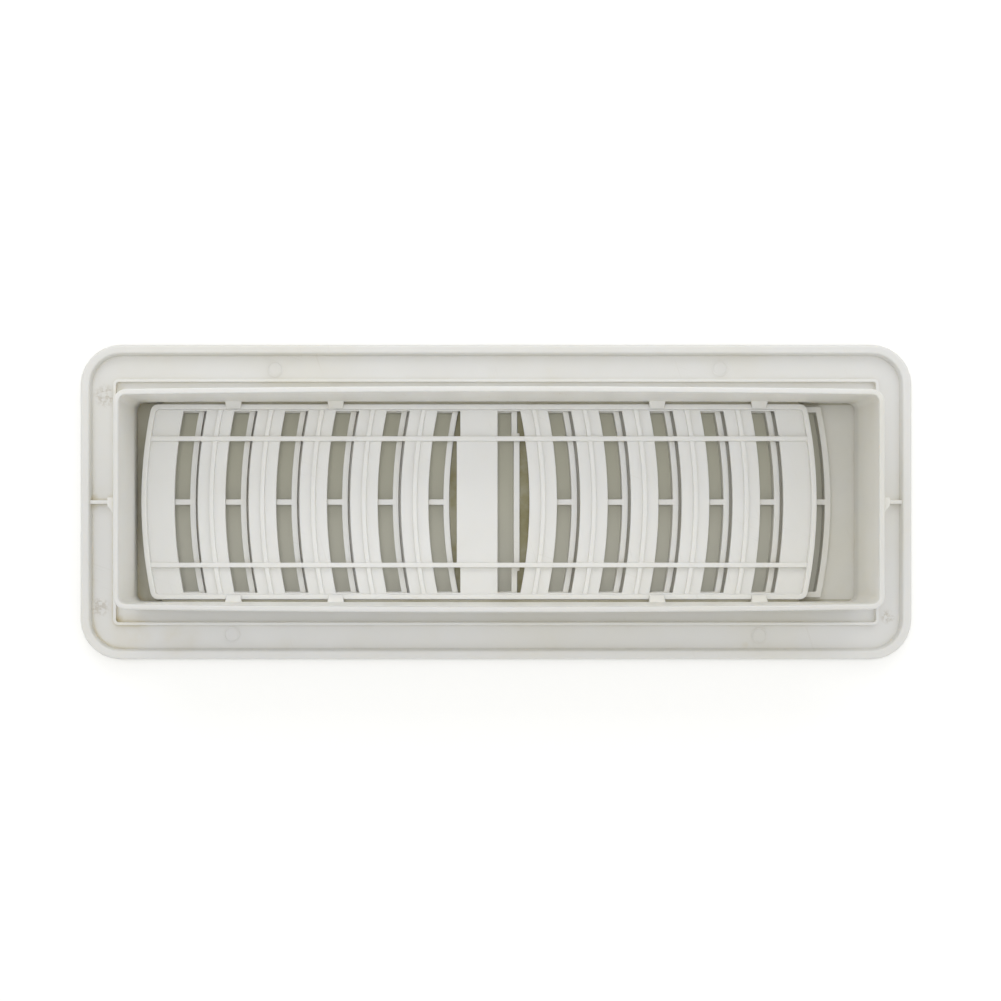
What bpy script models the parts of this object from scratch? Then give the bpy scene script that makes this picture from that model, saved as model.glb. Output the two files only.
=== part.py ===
"""Plastic floor register with a sliding damper, lying face down with its collar up.

X runs along the register, Y across it, and Z up from the face that shows in a room.
The origin is at the middle of that face, on the plane that it rests on.
"""

import math

import bmesh
import bpy

MM = 0.001

# Faceplate, whose outer edge turns up into a lip beyond the collar on every side
FLANGE_END_WIDTH = 16.8 * MM
FLANGE_SIDE_WIDTH = 17.5 * MM
FACE_CORNER_RADIUS = 13.5 * MM
FACE_THICKNESS = 2.8 * MM
LIP_HEIGHT = 6.0 * MM
LIP_WIDTH = 3.2 * MM
LIP_EDGE_ROUND = 0.9 * MM
LIP_DRAFT = 0.3 * MM
FRONT_BEVEL_WIDTH = 8.0 * MM
FRONT_BEVEL_RISE = 1.3 * MM

# Collar that drops into the duct, drafted, with long walls that bow out at the rim
COLLAR_LENGTH = 247.4 * MM
COLLAR_WIDTH = 71.4 * MM
COLLAR_TOP = 41.0 * MM
COLLAR_CORNER_RADIUS = 4.6 * MM
COLLAR_BASE_WALL = 2.1 * MM
COLLAR_RIM_WALL = 1.8 * MM
COLLAR_DRAFT = 0.5 * MM
COLLAR_BOW = 0.9 * MM
RIM_CHAMFER = 0.35 * MM

# Low ridge on the flange around the collar
RIDGE_SPACING = 5.0 * MM
RIDGE_WIDTH = 1.0 * MM
RIDGE_HEIGHT = 1.8 * MM

# Gussets from the lip to the middle of each short collar wall
GUSSET_THICKNESS = 1.3 * MM
GUSSET_TOP = 14.0 * MM
GUSSET_SLOPE_LENGTH = 3.0 * MM

# Upright rib on each short collar wall at its gusset, whose side at -Y slopes away
WALL_RIB_WIDTH = 2.7 * MM
WALL_RIB_DEPTH = 1.8 * MM
WALL_RIB_SPREAD = 2.1 * MM
WALL_RIB_TOP = 38.0 * MM

# Grille: arched slots on each side of a straight middle slot, each with a raised border
SLOT_WIDTH = 7.7 * MM
SLOT_PITCH = 17.14 * MM
FIRST_SLOT_CENTRE = 21.7 * MM
SLOT_END_MARGIN = 3.3 * MM
ARCH_RADIUS = 155.0 * MM
BORDER_WIDTH = 2.0 * MM
BORDER_HEIGHT = 2.0 * MM
BRIDGE_WIDTH = 1.9 * MM
MIDDLE_SLOT_STEP = 0.8 * MM

# Damper: one plate with a raised rim, two long ribs and an arched rib on each bar
DAMPER_PLAY = 0.3 * MM
DAMPER_SIDE_GAP = 0.75 * MM
DAMPER_END_GAP = 0.15 * MM
DAMPER_THICKNESS = 1.5 * MM
DAMPER_RIM_HEIGHT = 2.0 * MM
DAMPER_RIM_WIDTH = 1.7 * MM
DAMPER_CORNER_RADIUS = 2.1 * MM
BAR_OVERLAP = 0.8 * MM
END_BAR_LEAST_WIDTH = 6.0 * MM
BAND_OVERLAP = 0.3 * MM
BAND_STEP = 1.2 * MM
LONG_RIB_SPACING = 42.6 * MM
LONG_RIB_WIDTH = 1.6 * MM
LONG_RIB_DROP = 0.5 * MM
ARCHED_RIB_WIDTH = 1.5 * MM
ARCHED_RIB_DROP = 1.0 * MM
OPENING_MARGIN = 0.5 * MM
RIB_LIFT = 0.5 * MM

# Thumb lever under the damper's middle band, which the middle slot lets through
LEVER_WIDTH = 3.6 * MM
LEVER_LENGTH = 14.0 * MM
LEVER_RECESS = 0.9 * MM
LEVER_EDGE_ROUND = 0.8 * MM
LEVER_CLEARANCE = 0.3 * MM

# The damper slides from open, at -X, to shut, where it is centred; here it is part open
OPEN_TRAVEL = 2.0 * MM
SHUT_TRAVEL = 5.8 * MM

# Snap hooks inside the long walls, which hold the damper down
HOOK_PLACES = (53.9 * MM, 88.2 * MM)
HOOK_WIDTH = 5.8 * MM
HOOK_TAPER = 0.6 * MM
HOOK_REACH = 2.3 * MM
HOOK_HEIGHT = 3.8 * MM
HOOK_NOSE = 0.9 * MM

# How far a joined piece sinks into its neighbour before the two are united
SINK = 1.0 * MM
MERGE_DISTANCE = 0.002 * MM
CORNER_STEPS = 7
ARCH_STEPS = 16
DAMPER_END_STEPS = 14
WALL_STEPS = 16
DAMPER_CORNER_STEPS = 3
LEVER_EDGE_STEPS = 3
SHARP_ANGLE = math.radians(30)
# How far in from each face the middle of a rounded edge lies, as a share of its radius
ROUND_SHARE = 1 - math.sqrt(0.5)

PLASTIC_COLOUR = (0.76, 0.755, 0.72, 1.0)
PLASTIC_ROUGHNESS = 0.45

collar_inner_length = COLLAR_LENGTH - 2 * COLLAR_BASE_WALL
collar_inner_width = COLLAR_WIDTH - 2 * COLLAR_BASE_WALL
face_length = COLLAR_LENGTH + 2 * FLANGE_END_WIDTH
face_width = COLLAR_WIDTH + 2 * FLANGE_SIDE_WIDTH
slot_length = collar_inner_width - 2 * SLOT_END_MARGIN
border_top = FACE_THICKNESS + BORDER_HEIGHT
damper_bottom = border_top + DAMPER_PLAY
damper_top = damper_bottom + DAMPER_THICKNESS
damper_rim_top = damper_top + DAMPER_RIM_HEIGHT
damper_width = collar_inner_width - 2 * DAMPER_SIDE_GAP
bar_width = SLOT_WIDTH + 2 * BAR_OVERLAP
full_travel = OPEN_TRAVEL + SHUT_TRAVEL
damper_length = collar_inner_length - 2 * (full_travel + DAMPER_END_GAP)
last_slot_limit = damper_length / 2 - END_BAR_LEAST_WIDTH + bar_width / 2
slot_count = int((last_slot_limit - FIRST_SLOT_CENTRE) / SLOT_PITCH) + 1
slot_centres = [FIRST_SLOT_CENTRE + i * SLOT_PITCH for i in range(slot_count)]
lever_window_width = LEVER_WIDTH + full_travel + 2 * LEVER_CLEARANCE
lever_window_length = LONG_RIB_SPACING
lever_start = lever_window_width / 2 - LEVER_CLEARANCE - LEVER_WIDTH
middle_slot_width = lever_window_width - 2 * MIDDLE_SLOT_STEP
band_width = lever_window_width + 2 * BAND_OVERLAP


def clear_scene():
    for obj in list(bpy.data.objects):
        bpy.data.objects.remove(obj, do_unlink=True)


def plastic(name):
    material = bpy.data.materials.new(name)
    material.use_nodes = True
    shader = material.node_tree.nodes["Principled BSDF"]
    shader.inputs["Base Color"].default_value = PLASTIC_COLOUR
    shader.inputs["Roughness"].default_value = PLASTIC_ROUGHNESS
    shader.inputs["Metallic"].default_value = 0.0
    material.diffuse_color = PLASTIC_COLOUR
    return material


def make_object(name, mesh_data):
    bmesh.ops.recalc_face_normals(mesh_data, faces=mesh_data.faces)
    mesh = bpy.data.meshes.new(name)
    mesh_data.to_mesh(mesh)
    mesh_data.free()
    obj = bpy.data.objects.new(name, mesh)
    bpy.context.scene.collection.objects.link(obj)
    return obj


def add_prism(mesh_data, outline, bottom, top):
    """Extrudes a flat outline of (x, y) points from one height to another."""
    points = [mesh_data.verts.new((x, y, bottom)) for x, y in outline]
    face = mesh_data.faces.new(points)
    extruded = bmesh.ops.extrude_face_region(mesh_data, geom=[face])["geom"]
    raised = [item for item in extruded if isinstance(item, bmesh.types.BMVert)]
    bmesh.ops.translate(mesh_data, verts=raised, vec=(0, 0, top - bottom))
    return points, raised


def add_loft(mesh_data, sections, ring=False):
    """Skins sections that each hold the same number of points, as a solid or as a ring."""
    loops = [[mesh_data.verts.new(point) for point in section] for section in sections]
    count = len(loops[0])
    pairs = list(zip(loops, loops[1:]))
    if ring:
        pairs.append((loops[-1], loops[0]))
    for lower, upper in pairs:
        for i in range(count):
            j = (i + 1) % count
            mesh_data.faces.new((lower[i], lower[j], upper[j], upper[i]))
    if not ring:
        mesh_data.faces.new(loops[0])
        mesh_data.faces.new(loops[-1])


def unite(target, tool, operation="UNION"):
    """Joins the tool to the target, or cuts it away, and removes the tool."""
    boolean = target.modifiers.new(operation.title(), "BOOLEAN")
    boolean.operation = operation
    boolean.object = tool
    bpy.context.view_layer.objects.active = target
    bpy.ops.object.modifier_apply(modifier=boolean.name)
    bpy.data.objects.remove(tool, do_unlink=True)


def cut(target, tool):
    unite(target, tool, "DIFFERENCE")


def finish(obj):
    """Merges the points that a Boolean leaves doubled and shades the round faces smooth."""
    mesh_data = bmesh.new()
    mesh_data.from_mesh(obj.data)
    bmesh.ops.remove_doubles(mesh_data, verts=mesh_data.verts, dist=MERGE_DISTANCE)
    mesh_data.to_mesh(obj.data)
    mesh_data.free()
    obj.data.shade_smooth()
    obj.data.set_sharp_from_angle(angle=SHARP_ANGLE)
    obj.data.materials.clear()
    obj.data.materials.append(plastic(obj.name + "_plastic"))


def sag(y):
    """How far an arch has fallen back towards the middle at this distance from its crown."""
    return ARCH_RADIUS - math.sqrt(ARCH_RADIUS**2 - y**2)


def rounded_rectangle(length, width, radius, wall_steps=1, bow=0.0):
    """Counterclockwise outline, whose long sides may bow outwards."""
    outline = []
    centres = ((1, 1, 0), (-1, 1, 90), (-1, -1, 180), (1, -1, 270))
    for side_x, side_y, start in centres:
        centre_x = side_x * (length / 2 - radius)
        centre_y = side_y * (width / 2 - radius)
        for step in range(CORNER_STEPS + 1):
            angle = math.radians(start + 90 * step / CORNER_STEPS)
            x = centre_x + radius * math.cos(angle)
            outline.append((x, centre_y + radius * math.sin(angle)))
        if start in (0, 180):
            for step in range(1, wall_steps):
                along = 1 - 2 * step / wall_steps
                x = along * centre_x
                bulge = bow * (1 - along**2)
                outline.append((x, side_y * (width / 2 + bulge)))
    return outline


def at_height(outline, z):
    return [(x, y, z) for x, y in outline]


def arched_band(inner, outer, half_length, side):
    """Outline between two arches that bulge away from the middle, on one side of it."""
    steps = [half_length * (2 * i / ARCH_STEPS - 1) for i in range(ARCH_STEPS + 1)]
    rising = [(side * (outer - sag(y)), y) for y in steps]
    falling = [(side * (inner - sag(y)), y) for y in reversed(steps)]
    return rising + falling


def stepped_slot(end_width, middle_width, half_length, middle_half_length):
    """Straight slot that is wider over its middle length."""
    end_x = end_width / 2
    middle_x = middle_width / 2
    return [
        (end_x, -half_length),
        (end_x, -middle_half_length),
        (middle_x, -middle_half_length),
        (middle_x, middle_half_length),
        (end_x, middle_half_length),
        (end_x, half_length),
        (-end_x, half_length),
        (-end_x, middle_half_length),
        (-middle_x, middle_half_length),
        (-middle_x, -middle_half_length),
        (-end_x, -middle_half_length),
        (-end_x, -half_length),
    ]


def face_section(inset, z):
    radius = max(FACE_CORNER_RADIUS - inset, 1 * MM)
    return at_height(rounded_rectangle(face_length - 2 * inset, face_width - 2 * inset, radius), z)


def faceplate():
    """Tray with a bevelled front edge and a rounded lip at the back."""
    mesh_data = bmesh.new()
    foot = LIP_WIDTH + LIP_DRAFT
    middle = LIP_EDGE_ROUND * ROUND_SHARE
    sections = [
        face_section(FRONT_BEVEL_WIDTH, 0),
        face_section(LIP_EDGE_ROUND, FRONT_BEVEL_RISE),
        face_section(middle, FRONT_BEVEL_RISE + middle),
        face_section(0, FRONT_BEVEL_RISE + LIP_EDGE_ROUND),
        face_section(0, LIP_HEIGHT - LIP_EDGE_ROUND),
        face_section(middle, LIP_HEIGHT - middle),
        face_section(LIP_EDGE_ROUND, LIP_HEIGHT),
        face_section(LIP_WIDTH - LIP_EDGE_ROUND, LIP_HEIGHT),
        face_section(LIP_WIDTH - middle, LIP_HEIGHT - middle),
        face_section(LIP_WIDTH, LIP_HEIGHT - LIP_EDGE_ROUND),
        face_section(foot, FACE_THICKNESS),
    ]
    add_loft(mesh_data, sections)
    return make_object("register_frame", mesh_data)


def collar_section(outset, z, bow):
    """Collar outline at one height, outset from the outer face at the base."""
    outline = rounded_rectangle(
        COLLAR_LENGTH + 2 * outset,
        COLLAR_WIDTH + 2 * outset,
        COLLAR_CORNER_RADIUS + outset,
        WALL_STEPS,
        bow,
    )
    return at_height(outline, z)


def collar():
    """Drafted wall that is straight at its base and bowed at its rim."""
    mesh_data = bmesh.new()
    base = FACE_THICKNESS - SINK
    shoulder = COLLAR_TOP - RIM_CHAMFER
    rim_inner = -COLLAR_DRAFT - COLLAR_RIM_WALL
    sections = [
        collar_section(0, base, 0),
        collar_section(0, FACE_THICKNESS, 0),
        collar_section(-COLLAR_DRAFT, shoulder, COLLAR_BOW),
        collar_section(-COLLAR_DRAFT - RIM_CHAMFER, COLLAR_TOP, COLLAR_BOW),
        collar_section(rim_inner + RIM_CHAMFER, COLLAR_TOP, COLLAR_BOW),
        collar_section(rim_inner, shoulder, COLLAR_BOW),
        collar_section(-COLLAR_BASE_WALL, FACE_THICKNESS, 0),
        collar_section(-COLLAR_BASE_WALL, base, 0),
    ]
    add_loft(mesh_data, sections, ring=True)
    return make_object("collar", mesh_data)


def ridge():
    """Low rectangular rib that runs around the collar on the flange."""
    mesh_data = bmesh.new()
    outlines = []
    for outset in (RIDGE_SPACING + RIDGE_WIDTH, RIDGE_SPACING):
        length = COLLAR_LENGTH + 2 * outset
        width = COLLAR_WIDTH + 2 * outset
        outlines.append(rounded_rectangle(length, width, RIDGE_WIDTH + outset - RIDGE_SPACING))
    low = FACE_THICKNESS - SINK
    high = FACE_THICKNESS + RIDGE_HEIGHT
    outer, inner = outlines
    sections = [
        at_height(outer, low),
        at_height(outer, high),
        at_height(inner, high),
        at_height(inner, low),
    ]
    add_loft(mesh_data, sections, ring=True)
    return make_object("ridge", mesh_data)


def gussets():
    """Upright ribs from the lip to the short collar walls, steep near the collar."""
    mesh_data = bmesh.new()
    lip_inside = face_length / 2 - LIP_WIDTH
    collar_face = COLLAR_LENGTH / 2
    low = FACE_THICKNESS - SINK
    rib_top = LIP_HEIGHT - LIP_EDGE_ROUND
    profile = [
        (lip_inside + SINK, low),
        (lip_inside + SINK, rib_top),
        (collar_face + GUSSET_SLOPE_LENGTH, rib_top),
        (collar_face - COLLAR_DRAFT, GUSSET_TOP),
        (collar_face - SINK, GUSSET_TOP),
        (collar_face - SINK, low),
    ]
    half = GUSSET_THICKNESS / 2
    for side in (1, -1):
        sections = [[(side * x, y, z) for x, z in profile] for y in (-half, half)]
        add_loft(mesh_data, sections)
    return make_object("gussets", mesh_data)


def wall_ribs():
    """Upright ribs that carry the gussets up the short collar walls."""
    mesh_data = bmesh.new()
    back = GUSSET_THICKNESS / 2
    front = back - WALL_RIB_WIDTH
    sunk = COLLAR_LENGTH / 2 - SINK
    crest = COLLAR_LENGTH / 2 + WALL_RIB_DEPTH
    slope_end = front - WALL_RIB_SPREAD * (crest - sunk) / WALL_RIB_DEPTH
    corners = [(crest, back), (crest, front), (sunk, slope_end), (sunk, back)]
    for side in (1, -1):
        outline = [(side * x, y) for x, y in corners]
        add_prism(mesh_data, outline, FACE_THICKNESS - SINK, WALL_RIB_TOP)
    return make_object("wall_ribs", mesh_data)


def slot_borders():
    """Raised pads that the slots are cut through, so each slot keeps a border."""
    mesh_data = bmesh.new()
    low = FACE_THICKNESS - SINK
    half_length = slot_length / 2 + BORDER_WIDTH
    for centre in slot_centres:
        inner = centre - SLOT_WIDTH / 2 - BORDER_WIDTH
        outer = centre + SLOT_WIDTH / 2 + BORDER_WIDTH
        for side in (1, -1):
            add_prism(mesh_data, arched_band(inner, outer, half_length, side), low, border_top)
    middle = stepped_slot(
        middle_slot_width + 2 * BORDER_WIDTH,
        lever_window_width + 2 * BORDER_WIDTH,
        half_length,
        lever_window_length / 2 + BORDER_WIDTH,
    )
    add_prism(mesh_data, middle, low, border_top)
    return make_object("slot_borders", mesh_data)


def slot_cutters():
    """Through cuts: two for each arched slot, which leave its bridge, and one in the middle."""
    mesh_data = bmesh.new()
    low = -SINK
    high = border_top + SINK
    half_length = slot_length / 2
    bridge_half = BRIDGE_WIDTH / 2
    for centre in slot_centres:
        inner = centre - SLOT_WIDTH / 2
        outer = centre + SLOT_WIDTH / 2
        for side in (1, -1):
            for end in (1, -1):
                outline = arched_half(inner, outer, bridge_half, half_length, side, end)
                add_prism(mesh_data, outline, low, high)
    middle = stepped_slot(
        middle_slot_width,
        lever_window_width,
        half_length,
        lever_window_length / 2,
    )
    add_prism(mesh_data, middle, low, high)
    return make_object("slot_cutters", mesh_data)


def arched_half(inner, outer, start, stop, side, end):
    """Outline of an arched slot between two distances from the crown, towards one end."""
    count = ARCH_STEPS // 2
    steps = [start + (stop - start) * i / count for i in range(count + 1)]
    rising = [(side * (outer - sag(y)), end * y) for y in steps]
    falling = [(side * (inner - sag(y)), end * y) for y in reversed(steps)]
    return rising + falling


def hooks():
    """Wedges on the inside of the long walls, flat underneath, just above the damper's rim."""
    mesh_data = bmesh.new()
    underside = damper_rim_top + DAMPER_PLAY
    wall = collar_inner_width / 2
    for place in HOOK_PLACES:
        for centre in (place, -place):
            for side in (1, -1):
                root = hook_section(centre, side * (wall + SINK), HOOK_WIDTH, underside, HOOK_HEIGHT)
                tip_width = HOOK_WIDTH - 2 * HOOK_TAPER
                tip = hook_section(centre, side * (wall - HOOK_REACH), tip_width, underside, HOOK_NOSE)
                add_loft(mesh_data, [root, tip])
    return make_object("hooks", mesh_data)


def hook_section(centre, y, width, underside, height):
    left = centre - width / 2
    right = centre + width / 2
    return [
        (left, y, underside),
        (right, y, underside),
        (right, y, underside + height),
        (left, y, underside + height),
    ]


def register_frame():
    """Faceplate, collar, ridge, gussets, wall ribs, slot borders and hooks, moulded as one."""
    frame = faceplate()
    for tool in (slot_borders(), collar(), ridge(), gussets(), wall_ribs(), hooks()):
        unite(frame, tool)
    cut(frame, slot_cutters())
    finish(frame)
    return frame


def damper_plate():
    """Plate with arched ends and rounded corners, whose edge rises into a rim."""
    mesh_data = bmesh.new()
    half_width = damper_width / 2
    steps = [half_width * (2 * i / DAMPER_END_STEPS - 1) for i in range(DAMPER_END_STEPS + 1)]
    right = [(damper_length / 2 - sag(y), y) for y in steps]
    left = [(-x, y) for x, y in reversed(right)]
    add_prism(mesh_data, right + left, damper_bottom, damper_top)
    corners = [edge for edge in mesh_data.edges if is_corner(edge, half_width)]
    bmesh.ops.bevel(
        mesh_data,
        geom=corners,
        offset=DAMPER_CORNER_RADIUS,
        segments=DAMPER_CORNER_STEPS,
        profile=0.5,
        affect="EDGES",
    )
    mesh_data.normal_update()
    lowest_top = damper_top - MERGE_DISTANCE
    top = [face for face in mesh_data.faces if min(v.co.z for v in face.verts) > lowest_top]
    rim = bmesh.ops.inset_region(mesh_data, faces=top, thickness=DAMPER_RIM_WIDTH, use_even_offset=True)
    raised = bmesh.ops.extrude_face_region(mesh_data, geom=rim["faces"])["geom"]
    raised = [item for item in raised if isinstance(item, bmesh.types.BMVert)]
    bmesh.ops.translate(mesh_data, verts=raised, vec=(0, 0, DAMPER_RIM_HEIGHT))
    bmesh.ops.delete(mesh_data, geom=rim["faces"], context="FACES_ONLY")
    return make_object("damper", mesh_data)


def is_corner(edge, half_width):
    """Upright edge where an arched end meets a straight side."""
    low, high = (vert.co for vert in edge.verts)
    upright = (low.xy - high.xy).length < MERGE_DISTANCE
    return upright and abs(abs(low.y) - half_width) < MERGE_DISTANCE


def damper_cutters():
    """Openings between the bars, from rim to rim, which the long ribs then cross."""
    mesh_data = bmesh.new()
    low = damper_bottom - SINK
    high = damper_top + DAMPER_RIM_HEIGHT / 2
    half_length = damper_width / 2 - DAMPER_RIM_WIDTH - OPENING_MARGIN
    for near, far in zip(slot_centres, slot_centres[1:]):
        for side in (1, -1):
            outline = arched_band(near + bar_width / 2, far - bar_width / 2, half_length, side)
            add_prism(mesh_data, outline, low, high)
    first_bar = slot_centres[0] - bar_width / 2
    for side in (1, -1):
        step = BAND_STEP if side < 0 else 0.0
        outline = band_opening(first_bar, step, half_length, side)
        add_prism(mesh_data, outline, low, high)
    return make_object("damper_cutters", mesh_data)


def band_opening(arch, step, half_length, side):
    """Opening between the first arched bar and the straight middle band."""
    steps = [half_length * (2 * i / ARCH_STEPS - 1) for i in range(ARCH_STEPS + 1)]
    rising = [(side * (arch - sag(y)), y) for y in steps]
    edge = band_width / 2
    rib = LONG_RIB_SPACING / 2
    falling = [(side * edge, half_length)]
    if step:
        falling += [
            (side * edge, rib),
            (side * (edge + step), rib),
            (side * (edge + step), -rib),
            (side * edge, -rib),
        ]
    falling.append((side * edge, -half_length))
    return rising + falling


def damper_ribs():
    """Two long ribs that tie the bars together, and an arched rib on each bar."""
    mesh_data = bmesh.new()
    for side in (1, -1):
        y = side * LONG_RIB_SPACING / 2
        reach = damper_length / 2 - sag(y) - DAMPER_RIM_WIDTH / 2
        half = LONG_RIB_WIDTH / 2
        outline = [(-reach, y - half), (reach, y - half), (reach, y + half), (-reach, y + half)]
        add_prism(mesh_data, outline, damper_bottom + RIB_LIFT, damper_rim_top - LONG_RIB_DROP)
    return make_object("damper_ribs", mesh_data)


def arched_ribs():
    mesh_data = bmesh.new()
    half_length = damper_width / 2 - DAMPER_RIM_WIDTH / 2
    for centre in slot_centres[:-1]:
        inner = centre - ARCHED_RIB_WIDTH / 2
        outer = centre + ARCHED_RIB_WIDTH / 2
        for side in (1, -1):
            outline = arched_band(inner, outer, half_length, side)
            top = damper_rim_top - ARCHED_RIB_DROP
            add_prism(mesh_data, outline, damper_top - DAMPER_THICKNESS / 2, top)
    return make_object("arched_ribs", mesh_data)


def lever():
    """Thumb lever, rounded at its free end, that stays below the face."""
    mesh_data = bmesh.new()
    half = LEVER_LENGTH / 2
    end = lever_start + LEVER_WIDTH
    outline = [(lever_start, -half), (end, -half), (end, half), (lever_start, half)]
    free, _ = add_prism(mesh_data, outline, LEVER_RECESS, damper_bottom + DAMPER_THICKNESS / 2)
    edges = [edge for edge in mesh_data.edges if all(vert in free for vert in edge.verts)]
    bmesh.ops.bevel(
        mesh_data,
        geom=edges,
        offset=LEVER_EDGE_ROUND,
        segments=LEVER_EDGE_STEPS,
        profile=0.5,
        affect="EDGES",
    )
    return make_object("lever", mesh_data)


def damper():
    """Damper with its lever, moulded as one, part open."""
    plate = damper_plate()
    cut(plate, damper_cutters())
    for tool in (damper_ribs(), arched_ribs(), lever()):
        unite(plate, tool)
    finish(plate)
    plate.location.x = -SHUT_TRAVEL
    return plate


clear_scene()
register_frame()
damper()
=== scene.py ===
import math

import bpy
from bpy.props import FloatProperty, FloatVectorProperty, IntProperty, PointerProperty
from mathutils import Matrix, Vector


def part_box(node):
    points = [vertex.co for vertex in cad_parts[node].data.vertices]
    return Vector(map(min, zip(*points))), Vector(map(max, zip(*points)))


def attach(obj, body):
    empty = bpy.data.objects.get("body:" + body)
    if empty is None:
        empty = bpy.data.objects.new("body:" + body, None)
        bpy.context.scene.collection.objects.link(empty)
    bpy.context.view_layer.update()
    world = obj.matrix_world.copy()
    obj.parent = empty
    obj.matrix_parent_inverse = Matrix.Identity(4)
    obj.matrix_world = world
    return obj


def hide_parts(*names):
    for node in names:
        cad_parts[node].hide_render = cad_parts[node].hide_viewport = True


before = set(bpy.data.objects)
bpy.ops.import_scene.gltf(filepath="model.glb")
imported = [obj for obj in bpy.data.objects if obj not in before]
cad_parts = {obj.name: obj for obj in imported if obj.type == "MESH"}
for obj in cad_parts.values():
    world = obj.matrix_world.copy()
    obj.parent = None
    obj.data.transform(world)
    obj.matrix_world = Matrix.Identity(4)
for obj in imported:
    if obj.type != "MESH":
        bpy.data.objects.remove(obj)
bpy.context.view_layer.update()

bl_info = {
    "name": "Floor Register",
    "version": (1, 0, 0),
    "blender": (4, 5, 0),
    "location": "View3D > Sidebar > Floor Register",
    "description": "Finishes the two mouldings of a floor register and sets up its studio",
    "category": "Object",
}

MM = 0.001

# The solids' loose triangles are merged, faces that lie in one plane are joined, and sharper
# edges are rounded; the angles are in degrees
MERGE_DISTANCE = 0.01 * MM
FLAT_ANGLE = 0.08
EDGE_ANGLE = 38.0
DETAIL_ANGLE = 30.0

# A face looks up if its normal's height is more than this
UPWARD = 0.9

# Heights above the plane that the register lies on
FLANGE_HEIGHT = 2.8 * MM
COLLAR_TOP = 41.0 * MM

# Places on the flange, in millimetres, of the marks that the mould's ejector pins leave, and
# their raised ring: its width, its slope inwards, and its fall as a share of its height
PIN_MARK_PLACES = ((76.0, 45.4), (-75.0, 45.2), (-89.6, -44.9), (89.4, -45.3))
PIN_MARK_RING = 0.35 * MM
PIN_MARK_SLOPE = 0.12 * MM
PIN_MARK_FALL = 1.5

# Low rails at the foot of the long walls: where they lie, how far they reach along X, the
# radius on their top edges, and how strong the painted shade on their tops is
RAIL_INNER = 32.97 * MM
RAIL_OUTER = 33.75 * MM
RAIL_BOTTOM = 2.6 * MM
RAIL_TOP = 7.6 * MM
RAIL_ENDS = (-112.5 * MM, 102.0 * MM)
RAIL_ROUND = 0.18 * MM
RAIL_SHADE = 0.55

# The grille's arched slots along X, how far their ends lean back, and the gap beside the band
FIRST_SLOT = 21.7 * MM
SLOT_PITCH = 17.14 * MM
SLOT_CENTRES = [FIRST_SLOT + number * SLOT_PITCH for number in range(6)]
ARCH_LEAN = 1.5 * MM
BAND_GAP = 9.5 * MM

# Places on the flange, in millimetres, that are scraped rough, each with its radius
ROUGH_PLACES = ((-132.6, 36.0, 4.8), (-134.4, -35.5, 4.0), (132.9, -38.9, 3.0))

# Yellow stains, in millimetres: each place's x, y and z, its radius and its strength
STAIN_PLACES = (
    (-127.0, 37.4, 4.0, 3.2, 0.6),
    (-107.0, -46.5, 2.8, 9.0, 0.24),
    (-124.0, -44.0, 2.8, 9.0, 0.22),
    (84.6, -48.6, 2.8, 1.6, 0.4),
)

# The stain in the lip's foot, partly painted shade, as it follows the tight-corner mask and
# grows towards the left end and the lower side: where it starts and is strongest along X, where
# along Y, and its strength at these two places
FOOT_STAIN_AND_SHADE_END = (-112.0 * MM, -133.0 * MM)
FOOT_STAIN_AND_SHADE_SIDE = (25.0 * MM, -35.0 * MM)
FOOT_STAIN_AND_SHADE_STRENGTHS = (0.3, 2.8)

# Heights between which the stains on the flange fade, so that none shows on the front face
STAIN_FADE = (0.6 * MM, 1.6 * MM)

# How far the collar's inside reaches along X and Y, how far past that its painted shade and
# painted light fade, and the heights between which they start under the rim, and on the walls
# over the flange
COLLAR_REACH = (121.6 * MM, 33.6 * MM)
PAST_REACH = (1.2 * MM, 0.8 * MM)
INSIDE_FADE = (COLLAR_TOP - 0.3 * MM, COLLAR_TOP - 1.0 * MM)
WALL_LIGHT_FADE = (7.5 * MM, 12.0 * MM)

# Heights between which the painted shade on the rim starts, and the places along Y between
# which it grows from the far side, with its strengths there
RIM_FADE = (COLLAR_TOP - 0.6 * MM, COLLAR_TOP - 0.3 * MM)
FAR_SIDE_FADE = (COLLAR_REACH[1], 0.9 * COLLAR_REACH[1], 0.1, 1.0)

# Where the painted shade in the gaps fades: heights over the grille and over the rails, places
# along Y at the rails' inner faces, and slopes, as the height of a face's normal
GRILLE_FADE = (FLANGE_HEIGHT + 1.2 * MM, FLANGE_HEIGHT + 0.2 * MM)
RAIL_FADE = (RAIL_TOP + 0.4 * MM, RAIL_TOP + 0.2 * MM)
RAIL_EDGE = (RAIL_INNER - 0.1 * MM, RAIL_INNER)
SLOPE_FADE = (0.5, 0.8)

# How strong the painted shade is on the face inside the collar, in the narrow gaps beside the
# damper: places along X in millimetres, each with a strength
GAP_SHADE_STRENGTHS = (
    (-117.0, 0.58),
    (-114.0, 0.0),
    (-17.0, 0.0),
    (-15.5, 0.95),
    (15.5, 0.95),
    (17.0, 0.3),
    (104.0, 0.3),
    (108.0, 0.1),
)

# Noise scales of the finish, in waves per metre
GRAIN_SCALE = 2600.0
RIPPLE_SCALE = 240.0
DRAG_SCALE = (900.0, 900.0, 30.0)
GLOSS_SCALE = 60.0
CLOUD_SCALE = 14.0
FLECK_SCALE = 120.0
SCUFF_PATCH_SCALE = 35.0
PIT_SCALE = 900.0
STAIN_CLOUD_SCALE = 110.0
GAP_SHADE_CLOUD_SCALE = 90.0
RIM_SHADE_CLOUD_SCALE = 45.0
GRIME_AND_SHADE_PATCH_SCALE = 55.0

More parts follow.
